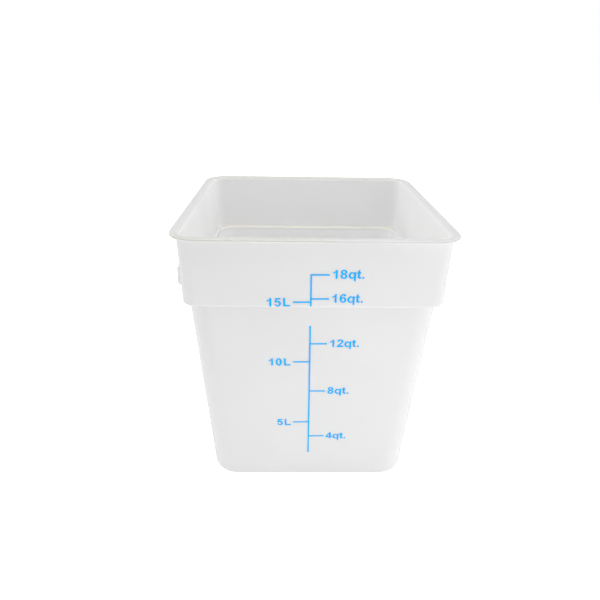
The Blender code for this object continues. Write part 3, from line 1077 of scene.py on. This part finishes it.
def scale_ink(colours):
    """Screen printed ink: a matt film, laid down a little unevenly, with a faint painted glow from
    its emission.
    """
    name = "Scale Ink"
    if name in bpy.data.materials:
        return bpy.data.materials[name]
    made, tree, shader = new_material(
        name, metallic=0.0, specular_ior_level=0.05, emission_color=(*colours.ink, 1.0),
        emission_strength=INK_PAINTED_GLOW)
    cover = cloud(tree, **INK_CLOUD)
    feed(tree, mix_colours(tree, cover, colours.ink, colours.thin_ink), shader["Base Color"])
    feed(tree, ranged(tree, cover, target=INK_ROUGHNESS), shader["Roughness"])
    add_bump(tree, shader, skin(tree, **INK_SKIN), *INK_BUMP)
    return made


def soft_light(name, power, place, target, width):
    """A large square area light that faces a point."""
    light = bpy.data.lights.new(name, "AREA")
    light.energy = power
    light.shape = "SQUARE"
    light.size = width
    made = bpy.data.objects.new(name, light)
    made.location = place
    made.rotation_euler = (Vector(target) - Vector(place)).to_track_quat("-Z", "Y").to_euler()
    bpy.context.scene.collection.objects.link(made)


class FOODTUB_OT_stage(bpy.types.Operator):
    """Set up the floor, the soft light and the camera"""

    bl_idname = "food_tub.stage"
    bl_label = "Studio"

    def execute(self, context):
        scene = context.scene
        studio = scene.food_tub_studio
        self.add_floor(scene.food_tub_colours, studio)
        self.add_tent(scene, studio)
        soft_light("key_light", studio.key_power, *KEY_LIGHT)
        soft_light("overhead_light", studio.overhead_power, *OVERHEAD_LIGHT)
        self.add_camera(scene, studio)
        scene.view_settings.view_transform = "Standard"
        scene.view_settings.look = "None"
        scene.cycles.use_denoising = True
        return {"FINISHED"}

    def add_floor(self, colours, studio):
        builder = bmesh.new()
        bmesh.ops.create_grid(builder, x_segments=1, y_segments=1, size=FLOOR_HALF)
        floor = add_object("studio_floor", builder)
        made, tree, shader = new_material(
            "Studio Floor", base_color=(*colours.floor, 1.0), roughness=0.9,
            specular_ior_level=0.1, emission_color=(1.0, 1.0, 1.0, 1.0))
        near = ranged(tree, vector_math(tree, "LENGTH", coordinate(tree)),
                      FLOOR_GLOW_ENDS, (studio.floor_glow, 0.0), smooth=True)
        seen = add_node(tree, "ShaderNodeLightPath").outputs["Is Camera Ray"]
        feed(tree, mixed(tree, seen, near, studio.floor_lift),
             shader["Emission Strength"])
        floor.data.materials.append(made)

    def add_tent(self, scene, studio):
        """A light tent with its own brightness on each side, and one even brightness in
        reflections.

        The camera sees plain white.
        """
        world = bpy.data.worlds.new("Light Tent")
        world.use_nodes = True
        tree = world.node_tree
        background = tree.nodes["Background"].inputs
        background["Color"].default_value = (1.0, 1.0, 1.0, 1.0)
        towards = coordinate(tree, "Generated")
        shares = []
        for half, strengths in (
                ("MAXIMUM", (studio.tent_right, studio.tent_back, studio.tent_top)),
                ("MINIMUM", (studio.tent_left, studio.tent_front, 0.0))):
            part = vector_math(tree, half, towards)
            square = vector_math(tree, "MULTIPLY", part, part)
            shares.append(vector_math(tree, "DOT_PRODUCT", square, strengths))
        path = add_node(tree, "ShaderNodeLightPath").outputs
        seen = mixed(tree, path["Is Glossy Ray"], number_math(tree, "ADD", *shares),
                           studio.tent_mirror)
        feed(tree, mixed(tree, path["Is Camera Ray"], seen, 1.0), background["Strength"])
        scene.world = world

    def add_camera(self, scene, studio):
        camera = bpy.data.cameras.new("photo_camera")
        camera.lens = studio.focal_length
        camera.sensor_width = SENSOR_WIDTH
        camera.clip_start = NEAREST_SEEN
        made = bpy.data.objects.new("photo_camera", camera)
        made.matrix_world = (Matrix.Translation(studio.camera_place)
                             @ Matrix.Rotation(-studio.camera_yaw, 4, "Z")
                             @ Matrix.Rotation(math.pi / 2 - studio.camera_pitch, 4, "X")
                             @ Matrix.Rotation(studio.camera_roll, 4, "Z"))
        scene.collection.objects.link(made)
        scene.camera = made


class FOODTUB_PT_panel(bpy.types.Panel):
    """The tub's sizes, colours and build buttons"""

    bl_idname = "FOODTUB_PT_panel"
    bl_label = "Food Tub"
    bl_space_type = "VIEW_3D"
    bl_region_type = "UI"
    bl_category = "Food Tub"

    def draw(self, context):
        scene = context.scene
        for operator in OPERATORS:
            self.layout.operator(operator.bl_idname)
        for name in GROUPS:
            group = getattr(scene, name)
            box = self.layout.box()
            for value in group.__annotations__:
                box.prop(group, value)


GROUPS = {
    "food_tub_sizes": TubSizes,
    "food_tub_scale": ScaleSizes,
    "food_tub_colours": FinishColours,
    "food_tub_studio": StudioSettings,
}
OPERATORS = (FOODTUB_OT_moulding, FOODTUB_OT_scale_lines, FOODTUB_OT_scale_figures,
             FOODTUB_OT_stage)


def register():
    for made in (*GROUPS.values(), *OPERATORS, FOODTUB_PT_panel):
        bpy.utils.register_class(made)
    for name, group in GROUPS.items():
        setattr(bpy.types.Scene, name, PointerProperty(type=group))


def unregister():
    for name in GROUPS:
        delattr(bpy.types.Scene, name)
    for made in (FOODTUB_PT_panel, *reversed(OPERATORS), *GROUPS.values()):
        bpy.utils.unregister_class(made)


def main():
    """Build the tub and its studio."""
    register()
    bpy.ops.food_tub.moulding()
    bpy.ops.food_tub.scale_lines()
    bpy.ops.food_tub.scale_figures()
    bpy.ops.food_tub.stage()


if __name__ == "__main__":
    main()
